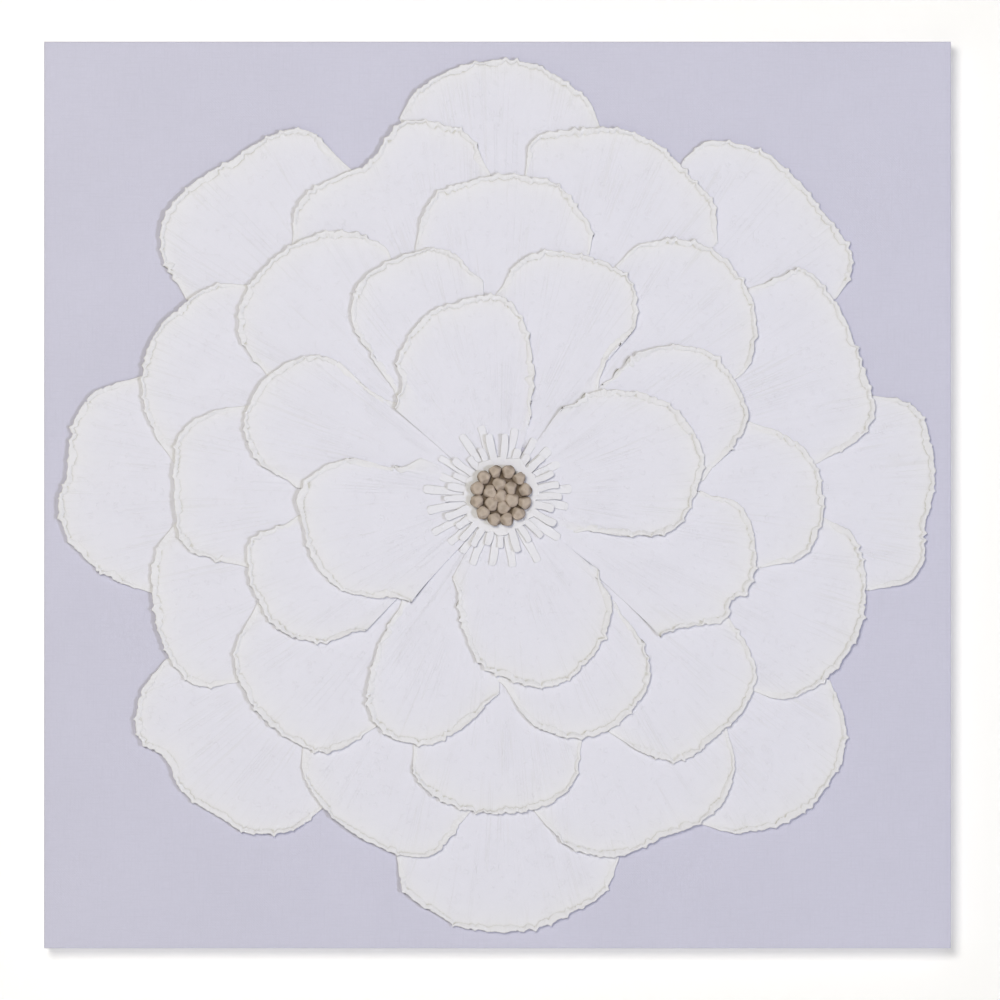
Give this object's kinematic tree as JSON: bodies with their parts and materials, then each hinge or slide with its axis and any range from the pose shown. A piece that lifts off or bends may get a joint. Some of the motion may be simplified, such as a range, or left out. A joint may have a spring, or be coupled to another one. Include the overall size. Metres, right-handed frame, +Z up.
{
  "type": "giant paper flower wall panel",
  "caption": "Large flower of layered handmade-paper petals with a cut paper fringe and clay seeds, glued on a square stretched canvas that hangs on a wall.",
  "frame": {"origin": "middle of the panel's back plane, on the back face of the cross brace", "axes": "+X to the viewer's right, +Z up, +Y into the wall, so the flower faces -Y"},
  "size_m": [1, 0.0559, 1],
  "materials": {
    "canvas": "matte",
    "petal_paper": "matte",
    "fringe_paper": "matte",
    "paper_clay": "matte",
    "pine": "satin",
    "steel": "satin"
  },
  "bodies": {
    "root": {"bar_bottom": "pine", "bar_left": "pine", "bar_right": "pine", "bar_top": "pine", "brace_horizontal": "pine", "brace_vertical": "pine", "canvas": "canvas", "fringe_long": "fringe_paper", "fringe_short": "fringe_paper", "hanger_left": "steel", "hanger_right": "steel", "petal_fourth_bottom_left": "petal_paper", "petal_fourth_bottom_right": "petal_paper", "petal_fourth_left_lower": "petal_paper", "petal_fourth_left_upper": "petal_paper", "petal_fourth_right_lower": "petal_paper", "petal_fourth_right_upper": "petal_paper", "petal_fourth_top_left": "petal_paper", "petal_fourth_top_right": "petal_paper", "petal_heart_bottom": "petal_paper", "petal_heart_left": "petal_paper", "petal_heart_right": "petal_paper", "petal_heart_top": "petal_paper", "petal_outer_bottom": "petal_paper", "petal_outer_left": "petal_paper", "petal_outer_lower_left": "petal_paper", "petal_outer_lower_right": "petal_paper", "petal_outer_right": "petal_paper", "petal_outer_top": "petal_paper", "petal_outer_upper_left": "petal_paper", "petal_outer_upper_right": "petal_paper", "petal_second_bottom_left": "petal_paper", "petal_second_bottom_right": "petal_paper", "petal_second_left_lower": "petal_paper", "petal_second_left_upper": "petal_paper", "petal_second_right_lower": "petal_paper", "petal_second_right_upper": "petal_paper", "petal_second_top_left": "petal_paper", "petal_second_top_right": "petal_paper", "petal_third_bottom": "petal_paper", "petal_third_left": "petal_paper", "petal_third_lower_left": "petal_paper", "petal_third_lower_right": "petal_paper", "petal_third_right": "petal_paper", "petal_third_top": "petal_paper", "petal_third_upper_left": "petal_paper", "petal_third_upper_right": "petal_paper", "seed_01": "paper_clay", "seed_02": "paper_clay", "seed_03": "paper_clay", "seed_04": "paper_clay", "seed_05": "paper_clay", "seed_06": "paper_clay", "seed_07": "paper_clay", "seed_08": "paper_clay", "seed_09": "paper_clay", "seed_10": "paper_clay", "seed_11": "paper_clay", "seed_12": "paper_clay", "seed_cluster": "paper_clay"}
  },
  "joints": []
}
